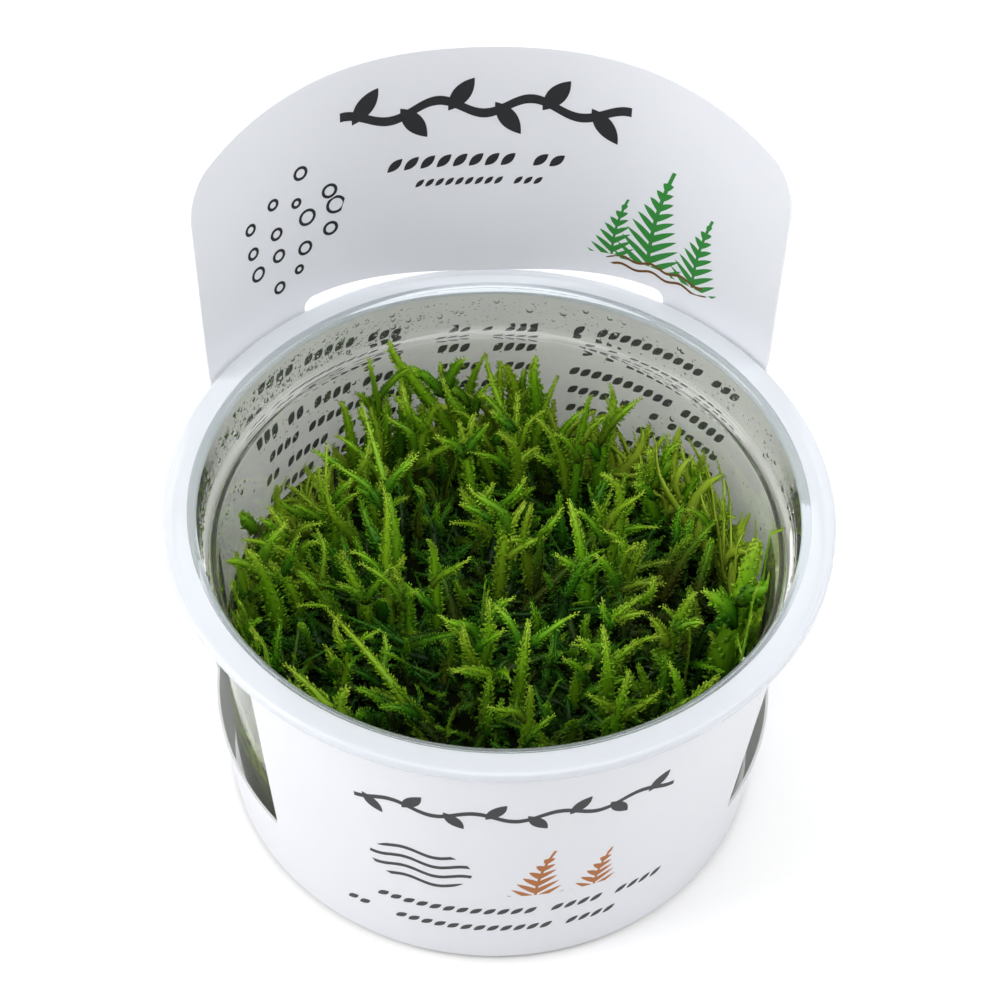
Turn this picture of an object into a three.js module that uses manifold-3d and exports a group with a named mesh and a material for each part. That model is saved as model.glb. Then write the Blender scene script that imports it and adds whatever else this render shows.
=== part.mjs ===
// A clear round cup of weeping moss with a die-cut white sleeve round it.
// Millimetres, +Z up. The origin is the middle of the cup's base, the sleeve's front
// panel faces -Y and its tall tab stands at the back, at +Y.
import * as THREE from 'three';
import * as BufferGeometryUtils from 'three/addons/utils/BufferGeometryUtils.js';
import Module from 'manifold-3d';

const wasm = await Module();
wasm.setup();

// Cup
const cupHeight = 60;
const flangeRadius = 50;
const flangeThickness = 1.0;
const flangeLipDepth = 1.6;
const flangeLipWidth = 0.8;
const wallThickness = 0.8;
const baseRadius = 42.9;
const baseCornerRadius = 2;
const floorThickness = 1.0;
const floorChamfer = 1.6;
const ledgeLevel = 51;
const ledgeInnerRadius = 42.6;
const ledgeWidth = 1.8;
const bandInnerRadius = 44.6;
const cupSegments = 48;

// Sleeve
const cardThickness = 0.5;
const sleeveFoot = 0.8;
const sleeveTop = 58.0;
const sleeveFootRadius = 43.5;
const sleeveFlare = 0.083;
const standoffStart = 22;
const stripStandoff = 2.2;
const standoffFade = 0.36;
const slotPull = -0.6;
const tabLean = 2.1;
const slotLength = 60.6;
const slotBottom = 57.4;
const slotTop = 61.2;
const tabWidth = 104.8;
const tabHeight = 101.3;
const tabArchDrop = 6.3;
const tabArchPower = 2.8;
const tabCornerRadius = 4.5;
const windowBottom = 17;
const windowTop = 53.5;
const windowFrontTurn = 127.5;
const windowRearTurn = 87;
const windowCornerRadius = 4;
const windowHeelRadius = 1;

// Moss
const mossGap = 0.4;
const canopyHeight = 27;
const canopyLump = 2.2;
const canopyRim = 2.5;
const canopySegments = 30;
const frondTeeth = 3;
const frondFullness = 1.25;
const frondTaper = 0.45;
const frondToothDepth = 0.34;
const scatteredFronds = 32;

const mergeDistance = 1e-4;
const radians = THREE.MathUtils.degToRad;
const smooth = THREE.MathUtils.smoothstep;

// A closed solid from a geometry: shared corners are merged, flat slivers dropped, and
// a solid that is inside out is turned the right way.
function solidOf(geometry) {
  const bare = geometry.clone();
  bare.deleteAttribute('normal');
  bare.deleteAttribute('uv');
  const merged = BufferGeometryUtils.mergeVertices(bare, mergeDistance);
  const points = merged.attributes.position.array;
  const corners = [];
  let volume = 0;
  const a = new THREE.Vector3();
  const b = new THREE.Vector3();
  const c = new THREE.Vector3();
  for (let i = 0; i < merged.index.count; i += 3) {
    const [p, q, r] = [0, 1, 2].map((k) => merged.index.getX(i + k));
    if (p === q || q === r || r === p) continue;
    corners.push(p, q, r);
    a.fromArray(points, 3 * p);
    b.fromArray(points, 3 * q);
    c.fromArray(points, 3 * r);
    volume += a.dot(b.cross(c));
  }
  if (volume < 0) corners.reverse();
  return new wasm.Manifold(new wasm.Mesh({
    numProp: 3,
    vertProperties: new Float32Array(points),
    triVerts: new Uint32Array(corners),
  }));
}

function geometryOf(solid) {
  const mesh = solid.getMesh();
  const geometry = new THREE.BufferGeometry();
  geometry.setAttribute('position', new THREE.BufferAttribute(mesh.vertProperties, 3));
  geometry.setIndex(new THREE.BufferAttribute(mesh.triVerts, 1));
  return geometry;
}

function turnedSolid(profile, segments) {
  const lathe = new THREE.LatheGeometry(profile.map(([r, z]) => new THREE.Vector2(r, z)), segments);
  return lathe.rotateX(Math.PI / 2);
}

// Inner radius of the cup's wall at a height.
function cupInnerRadius(z) {
  if (z > ledgeLevel) return bandInnerRadius - 0.1;
  const foot = baseRadius - wallThickness;
  return foot + (ledgeInnerRadius - foot) * z / ledgeLevel;
}

// The cup is one revolved wall: a flat floor with a rounded edge, a drafted wall, a step
// outwards at the ledge, and a flat flange with a turned-down lip.
function makeTub() {
  const bandOuterRadius = bandInnerRadius + wallThickness;
  const underFlange = cupHeight - flangeThickness;
  const lipInner = flangeRadius - flangeLipWidth;
  const corner = [15, 45, 75].map((turn) => [
    baseRadius - baseCornerRadius * (1 - Math.sin(radians(turn))),
    baseCornerRadius * (1 - Math.cos(radians(turn))),
  ]);
  const outside = [
    [0, 0],
    [baseRadius - baseCornerRadius, 0],
    ...corner,
    [baseRadius, baseCornerRadius],
    [ledgeInnerRadius + wallThickness, ledgeLevel - wallThickness],
    [bandOuterRadius, ledgeLevel + 0.2],
    [bandOuterRadius, underFlange],
    [lipInner, underFlange],
    [lipInner, cupHeight - flangeLipDepth],
    [flangeRadius, cupHeight - flangeLipDepth],
    [flangeRadius, cupHeight - 0.4],
    [flangeRadius - 0.4, cupHeight],
  ];
  const inside = [
    [bandInnerRadius + 0.6, cupHeight],
    [bandInnerRadius, cupHeight - 0.8],
    [ledgeInnerRadius + ledgeWidth, ledgeLevel + 0.3],
    [ledgeInnerRadius + ledgeWidth - 0.3, ledgeLevel],
    [ledgeInnerRadius, ledgeLevel - 0.2],
    [baseRadius - wallThickness, floorThickness + floorChamfer],
    [baseRadius - wallThickness - floorChamfer, floorThickness],
    [0, floorThickness],
  ];
  return geometryOf(solidOf(turnedSolid([...outside, ...inside], cupSegments)));
}

// Half the slot's length and half the tab's width, as turns round the back of the rim.
const slotTurn = slotLength / 2 / flangeRadius;
const tabTurn = tabWidth / 2 / (flangeRadius + 0.8);

// Inner radius of the sleeve at a turn from the back and a height: a plain cone that
// stands off round the flange at both ends of the slot and is drawn in at its middle.
function sleeveRadius(turn, z) {
  const away = Math.abs(turn);
  const cone = sleeveFootRadius + sleeveFlare * (z - sleeveFoot);
  const rise = smooth(z, standoffStart, sleeveTop);
  const outOfSlot = smooth(away, 0, 0.92 * slotTurn);
  const atStrip = outOfSlot * (1 - smooth(away, tabTurn, tabTurn + standoffFade));
  const middle = slotPull + tabLean * smooth(z, slotTop, tabHeight - tabArchDrop);
  return cone + rise * (stripStandoff * atStrip + middle * (1 - outOfSlot));
}

// Height of the tab's top edge at a distance from its middle: a flat arch, rounded off
// at both corners.
function tabTopAt(distance) {
  const arch = tabHeight - tabArchDrop * (distance / 48) ** tabArchPower;
  const past = distance - (tabWidth / 2 - tabCornerRadius);
  if (past <= 0) return arch;
  return arch - tabCornerRadius + Math.sqrt(Math.max(tabCornerRadius ** 2 - past ** 2, 0));
}

// Places a point of the flat sheet on the wrap. The tab's sides stay straight on the
// sheet, so its turn shrinks as the radius grows above the rim.
function wrap(turn, z, offset) {
  const above = sleeveRadius(turn, slotTop) / sleeveRadius(turn, Math.max(z, slotTop));
  const angle = turn * above;
  const radius = sleeveRadius(turn, z) + offset;
  return [radius * Math.sin(angle), radius * Math.cos(angle), z];
}

// Columns of the sheet from the back round to the front, closer together where the
// tab's corners are.
function sheetColumns() {
  const tabShares = [0.12, 0.23, 0.34, 0.46, 0.58, 0.7, 0.82, 0.9, 0.945, 0.975, 0.993, 1];
  const restDegrees = [66, 73, 80, 87, 95, 103, 111, 119, 127.5, 137, 148, 159, 169.5];
  const right = [...tabShares.map((share) => share * tabTurn), ...restDegrees.map(radians)];
  return [0, ...right, Math.PI, ...right.map((turn) => -turn).reverse()];
}

// The wrapped sheet before its windows and slot are cut: a closed ring up to the rim,
// with the tab's rows standing on its back columns.
function sheetSolid() {
  const columns = sheetColumns();
  const ringRows = [sleeveFoot, 9, windowBottom, 26, 35, 44, windowTop, sleeveTop];
  const tabShares = [0.1, 0.25, 0.42, 0.6, 0.78, 0.92, 1];
  const rows = ringRows.length + tabShares.length;
  const height = (turn, row) => {
    if (row < ringRows.length) return ringRows[row];
    const reach = Math.min(Math.abs(turn) / tabTurn, 1) * tabWidth / 2;
    return sleeveTop + (tabTopAt(reach) - sleeveTop) * tabShares[row - ringRows.length];
  };
  const position = [];
  for (const offset of [cardThickness, 0]) {
    for (const turn of columns) {
      for (let row = 0; row < rows; row += 1) position.push(...wrap(turn, height(turn, row), offset));
    }
  }
  const layer = columns.length * rows;
  const outer = [];
  columns.forEach((turn, i) => {
    const next = (i + 1) % columns.length;
    const onTab = Math.max(Math.abs(turn), Math.abs(columns[next])) < tabTurn + 1e-6;
    for (let row = 0; row < rows - 1; row += 1) {
      if (row >= ringRows.length - 1 && !onTab) continue;
      const [a, b] = [i * rows + row, next * rows + row];
      outer.push([a, a + 1, b], [b, a + 1, b + 1]);
    }
  });
  const edges = new Set();
  outer.forEach((t) => [0, 1, 2].forEach((k) => edges.add(`${t[k]} ${t[(k + 1) % 3]}`)));
  const index = [];
  for (const t of outer) {
    index.push(...t, t[2] + layer, t[1] + layer, t[0] + layer);
    for (let k = 0; k < 3; k += 1) {
      const [from, to] = [t[k], t[(k + 1) % 3]];
      if (edges.has(`${to} ${from}`)) continue;
      index.push(to, from, from + layer, to, from + layer, to + layer);
    }
  }
  const geometry = new THREE.BufferGeometry();
  geometry.setAttribute('position', new THREE.Float32BufferAttribute(position, 3));
  geometry.setIndex(index);
  return solidOf(geometry);
}

// A punch for an opening: its flat outline, measured round the rim and up, is wrapped
// well inside the card and again well outside it.
const arcSteps = 5;
const punchInside = 6;
const punchOutside = 16;
function punch(shape) {
  const outline = shape.getPoints(arcSteps);
  if (outline[0].distanceTo(outline[outline.length - 1]) < mergeDistance) outline.pop();
  const count = outline.length;
  const caps = THREE.ShapeUtils.triangulateShape(outline, []);
  const position = [-punchInside, punchOutside].flatMap((offset) => (
    outline.flatMap(({ x, y }) => wrap(x / flangeRadius, y, offset))
  ));
  const index = caps.flatMap(([a, b, c]) => [a, b, c, c + count, b + count, a + count]);
  for (let i = 0; i < count; i += 1) {
    const next = (i + 1) % count;
    index.push(next, i, i + count, next, i + count, next + count);
  }
  const geometry = new THREE.BufferGeometry();
  geometry.setAttribute('position', new THREE.Float32BufferAttribute(position, 3));
  geometry.setIndex(index);
  return solidOf(geometry);
}

function pillShape(halfLength, bottom, top) {
  const radius = (top - bottom) / 2;
  const middle = (top + bottom) / 2;
  const shape = new THREE.Shape();
  shape.absarc(halfLength - radius, middle, radius, -Math.PI / 2, Math.PI / 2, false);
  shape.absarc(-halfLength + radius, middle, radius, Math.PI / 2, 1.5 * Math.PI, false);
  return shape;
}

// A side window: an upright opening with round top corners and nearly square heels.
function windowShape(side) {
  const rear = radians(windowRearTurn) * flangeRadius;
  const front = radians(windowFrontTurn) * flangeRadius;
  const [left, right] = side > 0 ? [rear, front] : [-front, -rear];
  const [round, heel] = [windowCornerRadius, windowHeelRadius];
  const shape = new THREE.Shape();
  shape.absarc(right - heel, windowBottom + heel, heel, -Math.PI / 2, 0, false);
  shape.absarc(right - round, windowTop - round, round, 0, Math.PI / 2, false);
  shape.absarc(left + round, windowTop - round, round, Math.PI / 2, Math.PI, false);
  shape.absarc(left + heel, windowBottom + heel, heel, Math.PI, 1.5 * Math.PI, false);
  return shape;
}

function makeSleeve() {
  return geometryOf(sheetSolid()
    .subtract(punch(pillShape(slotLength / 2, slotBottom, slotTop)))
    .subtract(punch(windowShape(1)))
    .subtract(punch(windowShape(-1))));
}

// The taller fronds, by eye from the picture: where each leaves the cushion, where its
// tip is, and its width.
const tallFronds = [
  { root: [-17, 37, 20], tip: [-18, 37, 52], width: 2.2 },
  { root: [-2, 37, 20], tip: [-11, 38, 53], width: 3.2 },
  { root: [0, 38, 20], tip: [-5, 39, 49], width: 2.4 },
  { root: [5, 37, 20], tip: [2, 38, 50], width: 2.4 },
  { root: [2, 32, 20], tip: [1, 33, 43], width: 1.8 },
  { root: [-21, 18, 20], tip: [-24, 25, 52], width: 2.2 },
  { root: [-16, 8, 20], tip: [-19, 26, 52], width: 2.2 },
  { root: [-20, 20, 20], tip: [-32, 24, 36], width: 2.2 },
  { root: [-20, 16, 20], tip: [-32, 5, 33], width: 2.4 },
  { root: [-36, 12, 20], tip: [-38, 12, 46], width: 3.2 },
  { root: [-32, 12, 20], tip: [-33, 12, 49], width: 2.2 },
  { root: [-27, 17, 20], tip: [-29, 17, 45], width: 2.2 },
  { root: [-33, 2, 20], tip: [-39, 1, 50], width: 3.0 },
  { root: [-38, 6, 20], tip: [-40, 7, 40], width: 2.6 },
  { root: [-8, -23, 22], tip: [-27, 0, 35], width: 2.6 },
  { root: [-9, 2, 20], tip: [-11, 2, 46], width: 2.0 },
  { root: [-16, -32, 22], tip: [-32, -21, 47], width: 3.4 },
  { root: [20, 30, 20], tip: [17, 32, 50], width: 2.6 },
  { root: [7, 28, 20], tip: [3, 36, 48], width: 2.2 },
  { root: [15, 29, 20], tip: [8, 31, 44], width: 2.2 },
  { root: [29, 24, 20], tip: [26, 26, 39], width: 3.4 },
  { root: [36, 13, 20], tip: [36, 14, 44], width: 2.8 },
  { root: [16, 4, 20], tip: [12, 13, 44], width: 3.0 },
  { root: [18, 18, 22], tip: [22, 16, 34], width: 2.6 },
  { root: [22, 7, 20], tip: [23, 7, 41], width: 2.0 },
  { root: [38, -9, 20], tip: [41, -3, 50], width: 5.0 },
  { root: [3, -24, 20], tip: [3, -24, 45], width: 2.2 },
  { root: [4, -4, 20], tip: [-6, -15, 33], width: 2.6 },
  { root: [22, -23, 20], tip: [33, -21, 43], width: 2.6 },
  { root: [18, -21, 20], tip: [17, -20, 42], width: 2.2 },
  { root: [31, -6, 20], tip: [32, -6, 34], width: 2.2 },
  { root: [12, -13, 20], tip: [14, -13, 35], width: 2.2 },
];

// The lower fronds between them stand on a sunflower spiral, and lean outwards.
function lowerFronds() {
  const golden = Math.PI * (3 - Math.sqrt(5));
  return Array.from({ length: scatteredFronds }, (_, i) => {
    const reach = 38 * Math.sqrt((i + 0.5) / scatteredFronds);
    const angle = i * golden;
    const lean = 2 + 3 * Math.abs(Math.sin(7.3 * i));
    const [x, y] = [reach * Math.cos(angle), reach * Math.sin(angle)];
    const sway = angle + 1.9 * Math.sin(3.1 * i);
    const tip = [x + lean * Math.cos(sway), y + lean * Math.sin(sway), 34 + 6 * Math.sin(5.7 * i)];
    return { root: [x, y, 20], tip, width: 2.4 + 0.5 * Math.cos(2.3 * i) };
  });
}

// A frond: a bent, tapering blade of diamond section whose width swells and narrows
// like the saw-toothed edge of the leafy shoot, ending in a point.
function makeFrond({ root, tip, width }) {
  const start = new THREE.Vector3(...root);
  const end = new THREE.Vector3(...tip);
  const bend = start.clone().lerp(end, 0.25).setZ(start.z + 0.7 * (end.z - start.z));
  const path = new THREE.QuadraticBezierCurve3(start, bend, end);
  const rings = 2 * frondTeeth + 1;
  const across = new THREE.Vector3(-start.y, start.x, 0).normalize();
  if (across.lengthSq() === 0) across.set(1, 0, 0);
  const position = [];
  for (let ring = 0; ring < rings; ring += 1) {
    const t = ring / rings;
    const centre = path.getPoint(t);
    const along = path.getTangent(t);
    const side = across.clone().addScaledVector(along, -across.dot(along)).normalize();
    const face = new THREE.Vector3().crossVectors(along, side);
    const tooth = ring % 2 ? 1 : 1 - frondToothDepth;
    const half = 0.5 * width * frondFullness * tooth * (1 - frondTaper * t);
    for (const [u, v] of [[1, 0], [0, 0.5], [-1, 0], [0, -0.5]]) {
      const corner = centre.clone().addScaledVector(side, u * half).addScaledVector(face, v * half);
      position.push(...insideCup(corner));
    }
  }
  const point = 4 * rings;
  position.push(...insideCup(end));
  const index = [0, 2, 1, 0, 3, 2];
  for (let ring = 0; ring < rings; ring += 1) {
    for (let k = 0; k < 4; k += 1) {
      const [a, b] = [4 * ring + k, 4 * ring + (k + 1) % 4];
      if (ring === rings - 1) index.push(a, b, point);
      else index.push(a, b, b + 4, a, b + 4, a + 4);
    }
  }
  const geometry = new THREE.BufferGeometry();
  geometry.setAttribute('position', new THREE.Float32BufferAttribute(position, 3));
  geometry.setIndex(index);
  return solidOf(geometry);
}

// Draws a point in, where it would touch the cup's wall.
function insideCup(point) {
  const limit = cupInnerRadius(Math.min(point.z, ledgeLevel)) - mossGap - 0.15;
  const reach = Math.hypot(point.x, point.y);
  const share = reach > limit ? limit / reach : 1;
  return [point.x * share, point.y * share, point.z];
}

// The cushion fills the cup from wall to wall; its top rolls in low hummocks.
function makeCushion() {
  const foot = floorThickness + mossGap;
  const footRadius = baseRadius - wallThickness - floorChamfer - mossGap;
  const wallRadius = (z) => cupInnerRadius(z) - mossGap;
  const shoulder = canopyHeight + canopyRim;
  const profile = [
    [0, foot],
    [footRadius, foot],
    [wallRadius(0), foot + 2],
    [wallRadius(shoulder), shoulder - canopyRim - canopyLump],
    [wallRadius(shoulder) - canopyRim, shoulder],
    ...[34, 27, 20, 13, 6, 0].map((ring) => [ring, canopyHeight]),
  ];
  const geometry = turnedSolid(profile, canopySegments);
  const at = geometry.attributes.position;
  for (let i = 0; i < at.count; i += 1) {
    if (at.getZ(i) < canopyHeight - canopyLump) continue;
    const [x, y] = [at.getX(i), at.getY(i)];
    const lump = Math.sin(x / 4.7 + 1) * Math.cos(y / 5.9) + Math.sin(y / 3.8 - x / 8.3);
    at.setZ(i, at.getZ(i) + 0.5 * canopyLump * lump);
  }
  return solidOf(geometry);
}

function makeMoss() {
  let moss = makeCushion();
  for (const frond of [...tallFronds, ...lowerFronds()]) moss = moss.add(makeFrond(frond));
  return geometryOf(moss);
}

const clearPlastic = new THREE.MeshStandardMaterial({
  color: 0xe4ebe9,
  roughness: 0.12,
  metalness: 0,
  transparent: true,
  opacity: 0.4,
});
const whiteCard = new THREE.MeshStandardMaterial({ color: 0xf2f2f6, roughness: 0.45, metalness: 0 });
const mossGreen = new THREE.MeshStandardMaterial({ color: 0x4c8a1c, roughness: 0.7, metalness: 0 });

function named(name, geometry, material) {
  const mesh = new THREE.Mesh(geometry, material);
  mesh.name = name;
  return mesh;
}

const cupOfMoss = new THREE.Group();
cupOfMoss.add(named('tub', makeTub(), clearPlastic));
cupOfMoss.add(named('sleeve', makeSleeve(), whiteCard));
cupOfMoss.add(named('moss', makeMoss(), mossGreen));

export default cupOfMoss;
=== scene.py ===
# Weeping moss in its clear plant cup, with the die-cut printed sleeve round it.
# Metres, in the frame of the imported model: the cup's base stands on z = 0, the sleeve's
# front panel faces -Y and its tall tab stands at +Y.
from functools import partial
import math
import bpy
import numpy as np
from mathutils import Matrix, Vector
from mathutils.geometry import delaunay_2d_cdt


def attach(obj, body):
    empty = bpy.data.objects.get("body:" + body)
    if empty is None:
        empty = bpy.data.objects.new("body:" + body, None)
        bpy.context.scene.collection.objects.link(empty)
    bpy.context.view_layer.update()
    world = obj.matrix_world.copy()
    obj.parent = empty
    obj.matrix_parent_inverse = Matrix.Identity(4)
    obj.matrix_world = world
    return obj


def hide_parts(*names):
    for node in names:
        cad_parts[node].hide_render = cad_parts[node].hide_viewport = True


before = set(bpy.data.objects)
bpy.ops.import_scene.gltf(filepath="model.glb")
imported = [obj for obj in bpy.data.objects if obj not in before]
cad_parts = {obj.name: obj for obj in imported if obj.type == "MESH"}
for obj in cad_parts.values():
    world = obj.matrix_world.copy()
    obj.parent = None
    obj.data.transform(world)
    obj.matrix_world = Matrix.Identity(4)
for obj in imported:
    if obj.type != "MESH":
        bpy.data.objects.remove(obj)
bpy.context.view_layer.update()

# Camera
# It looks down into the cup from in front, a little to the left of the sleeve's middle,
# through a long lens, and leans slightly clockwise.
AIM = np.array([0.0, -0.0003, 0.0597])
DISTANCE = 0.3455
LOOK_DOWN = 0.850
LOOK_FROM_LEFT = math.radians(5.0)
ROLL = 0.038
LENS = 83.67
NEAREST_SEEN = 0.01


def placed(name, data):
    """Put a new object in the scene, at the origin."""
    made = bpy.data.objects.new(name, data)
    bpy.context.scene.collection.objects.link(made)
    return made


back = np.array([
    -math.sin(LOOK_FROM_LEFT) * math.cos(LOOK_DOWN),
    -math.cos(LOOK_FROM_LEFT) * math.cos(LOOK_DOWN),
    math.sin(LOOK_DOWN),
])
level = np.array([math.cos(LOOK_FROM_LEFT), -math.sin(LOOK_FROM_LEFT), 0.0])
upright = np.cross(back, level)
side = math.cos(ROLL) * level + math.sin(ROLL) * upright
top = math.cos(ROLL) * upright - math.sin(ROLL) * level
stand = np.eye(4)
stand[:3] = np.stack([side, top, back, AIM + DISTANCE * back], axis=-1)
camera = placed("camera", bpy.data.cameras.new("camera"))
camera.data.lens = LENS
camera.data.clip_start = NEAREST_SEEN
camera.matrix_world = Matrix(stand.tolist())
bpy.context.scene.camera = camera

# Tub
# A clear cup moulded in one from slightly hazy polypropylene: a flat floor, a thin drafted
# wall, a step outwards near the top that the lid seats on, and a flat flange whose edge
# turns down. It is the same all round.
CUP_HEIGHT = 0.060
FLANGE_RADIUS = 0.050
FLANGE_THICKNESS = 0.0010
FLANGE_EDGE = 0.0016
SHOULDER = 0.0017
BASE_RADIUS = 0.0421
FLOOR_THICKNESS = 0.0010
WALL = 0.0008
DRAFT = 0.026
LEDGE_LEVEL = 0.051
LEDGE_RISE = 0.0002
LEDGE_RADIUS = 0.0426
BAND_RADIUS = 0.0446
DAMP_UP_TO = 0.032
DAMP_AT_WINDOWS_UP_TO = 0.0465
WINDOW_ZONE = {"side": 0.0318, "front": -0.036, "rear": 0.003}
SHARP_CORNER = math.radians(50)


def rounded(corners, steps=5):
    """Round each corner of a profile: corners are (radius, height, rounding), and each is
    replaced by a quadratic curve between the two points that lie its rounding away from it
    on the lines to its neighbours."""
    path = np.array([c[:2] for c in corners])
    cut = np.array([c[2] for c in corners])[:, None]
    ahead = np.roll(path, -1, axis=0) - path
    behind = np.roll(path, 1, axis=0) - path
    start = path + cut * behind / np.linalg.norm(behind, axis=1)[:, None]
    end = path + cut * ahead / np.linalg.norm(ahead, axis=1)[:, None]
    t = np.linspace(0, 1, steps)[None, :, None]
    curve = (1 - t) ** 2 * start[:, None] + 2 * t * (1 - t) * path[:, None] + t ** 2 * end[:, None]
    return curve[np.where(cut > 0, True, np.arange(steps)[None] == 0)]


def at_turn(turn, radius, height):
    """Points at a turn a about Z from +X, a radius r and a height z: (r cos a, r sin a, z)."""
    x, y = radius * np.cos(turn), radius * np.sin(turn)
    return np.stack([x, y, np.broadcast_to(height, x.shape)], axis=-1)


def lathe_faces(turns, count):
    """Faces of a turned form whose points run turn by turn, count to each turn, with the low
    and the high pole last: quads between neighbouring turns, and a fan of triangles at each
    pole."""
    here = np.arange(turns) * count
    there = np.roll(here, -1)
    a, b = here[:, None] + np.arange(count - 1), there[:, None] + np.arange(count - 1)
    low, high = np.full(turns, turns * count), np.full(turns, turns * count + 1)
    return (
        np.stack([a, b, b + 1, a + 1], axis=-1).reshape(-1, 4),
        np.stack([low, there, here], axis=-1),
        np.stack([high, here + count - 1, there + count - 1], axis=-1),
    )


def meshed(name, points, faces):
    """A new mesh from its points and its faces."""
    mesh = bpy.data.meshes.new(name)
    mesh.from_pydata(points, [], faces)
    mesh.update()
    return mesh


def turned(name, profile, turns=192):
    """Turn a profile that starts and ends on the axis about Z."""
    radius, height = profile[1:-1].T
    body = at_turn((np.arange(turns) * 2 * np.pi / turns)[:, None], radius[None], height)
    poles = np.array([[0, 0, profile[0, 1]], [0, 0, profile[-1, 1]]])
    quads, low, high = lathe_faces(turns, len(radius))
    return meshed(
        name, np.vstack([body.reshape(-1, 3), poles]).tolist(),
        [*quads.tolist(), *low.tolist(), *high.tolist()])


def piece(name, mesh, *materials):
    """Put a mesh in the scene as a piece of the cup, smooth except at sharp corners."""
    for material in materials:
        mesh.materials.append(material)
    mesh.shade_smooth()
    mesh.set_sharp_from_angle(angle=SHARP_CORNER)
    made = placed(name, mesh)
    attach(made, "root")
    return made


def wired(node, settings):
    """Link or set a node's inputs: a socket is linked, a number or a colour is set."""
    for place, value in settings.items():
        socket = node.inputs[place]
        if isinstance(value, bpy.types.NodeSocket):
            socket.id_data.links.new(value, socket)
        else:
            socket.default_value = value
    return node


def added(tree, kind, settings=None, **options):
    """A new node of a kind with its options and inputs."""
    node = tree.nodes.new("ShaderNode" + kind)
    for option, value in options.items():
        setattr(node, option, value)
    return wired(node, settings or {})


def parts(vector):
    """The x, y and z of a vector."""
    return added(vector.id_data, "SeparateXYZ", {"Vector": vector}).outputs


def finish(name, settings):
    """A new material, with its node tree and its shader, wired as given."""
    material = bpy.data.materials.new(name)
    material.use_nodes = True
    tree = material.node_tree
    return material, tree, wired(tree.nodes["Principled BSDF"], settings)


def polypropylene(name, colour, see_through, smooth, rough, ior=1.49, shine=0.5):
    """Clear to milky plastic with a breath of haze, faint flow marks and a soft sheen."""
    material, tree, plastic = finish(name, {
        "Base Color": colour, "Transmission Weight": see_through,
        "IOR": ior, "Specular IOR Level": shine,
    })
    where = added(tree, "TexCoord").outputs["Object"]
    flow = added(tree, "TexNoise", {"Vector": where, "Scale": 90, "Detail": 3}).outputs["Fac"]
    haze = added(tree, "MapRange", {"Value": flow, "To Min": smooth, "To Max": rough})
    bump = added(tree, "Bump", {"Height": flow, "Strength": 0.05, "Distance": 0.0004})
    wired(plastic, {"Roughness": haze.outputs["Result"], "Normal": bump.outputs["Normal"]})
    return material


mesh = turned("tub_moulding", rounded([
    (0.0, 0.0, 0),
    (BASE_RADIUS, 0.0, 0.0008),
    (BASE_RADIUS + 0.0003, 0.012, 0),
    (LEDGE_RADIUS + WALL, LEDGE_LEVEL - WALL, 0.0006),
    (BAND_RADIUS + WALL, LEDGE_LEVEL + LEDGE_RISE, 0.0006),
    (BAND_RADIUS + WALL, CUP_HEIGHT - FLANGE_THICKNESS, 0.0006),
    (BAND_RADIUS + SHOULDER, CUP_HEIGHT - FLANGE_THICKNESS, 0),
    (FLANGE_RADIUS - WALL, CUP_HEIGHT - FLANGE_THICKNESS, 0.0002),
    (FLANGE_RADIUS - WALL, CUP_HEIGHT - FLANGE_EDGE, 0.0001),
    (FLANGE_RADIUS, CUP_HEIGHT - FLANGE_EDGE, 0.0002),
    (FLANGE_RADIUS, CUP_HEIGHT, 0.0007),
    (BAND_RADIUS + SHOULDER, CUP_HEIGHT, 0),
    (BAND_RADIUS + 0.0004, CUP_HEIGHT, 0.0011),
    (BAND_RADIUS - 0.0001, LEDGE_LEVEL + LEDGE_RISE, 0.0008),
    (LEDGE_RADIUS, LEDGE_LEVEL - 0.0001, 0.0005),
    (LEDGE_RADIUS - 0.00010, DAMP_AT_WINDOWS_UP_TO, 0),
    (LEDGE_RADIUS - 0.00048, DAMP_UP_TO, 0),
    (BASE_RADIUS - WALL, FLOOR_THICKNESS + 0.0001, 0.0014),
    (0.0, FLOOR_THICKNESS, 0),
]))

# The flange is milky and the shoulder inside it thick. Damp moss lies on the wall's inner
# face, where light bends less. At the windows the outer face has little shine and a
# yellow-green tint, painted light that stands in for the lit moss behind it.
middles = np.zeros(len(mesh.polygons) * 3)
mesh.polygons.foreach_get("center", middles)
x, y, z = middles.reshape(-1, 3).T
out = np.hypot(x, y)
on_flange = (out > BAND_RADIUS + SHOULDER + 0.0001) & (z > LEDGE_LEVEL + 0.005)
on_shoulder = (out > BAND_RADIUS - 0.0001) & (z > CUP_HEIGHT - FLANGE_EDGE) & ~on_flange
mid_wall = BASE_RADIUS - WALL / 2 + DRAFT * z
off_floor = z > FLOOR_THICKNESS - 0.0001
in_zone = (np.abs(x) > WINDOW_ZONE["side"]) & (y > WINDOW_ZONE["front"]) & (y < WINDOW_ZONE["rear"])
at_windows = in_zone & off_floor
damp = at_windows & (z < DAMP_AT_WINDOWS_UP_TO) | (z < DAMP_UP_TO)
wetted = damp & (out < mid_wall) & off_floor
painted_light_at_windows = at_windows & (out > mid_wall) & (z < LEDGE_LEVEL - WALL)
mesh.polygons.foreach_set(
    "material_index", on_flange.astype(int) + 2 * on_shoulder + 3 * wetted + 4 * painted_light_at_windows)
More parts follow.
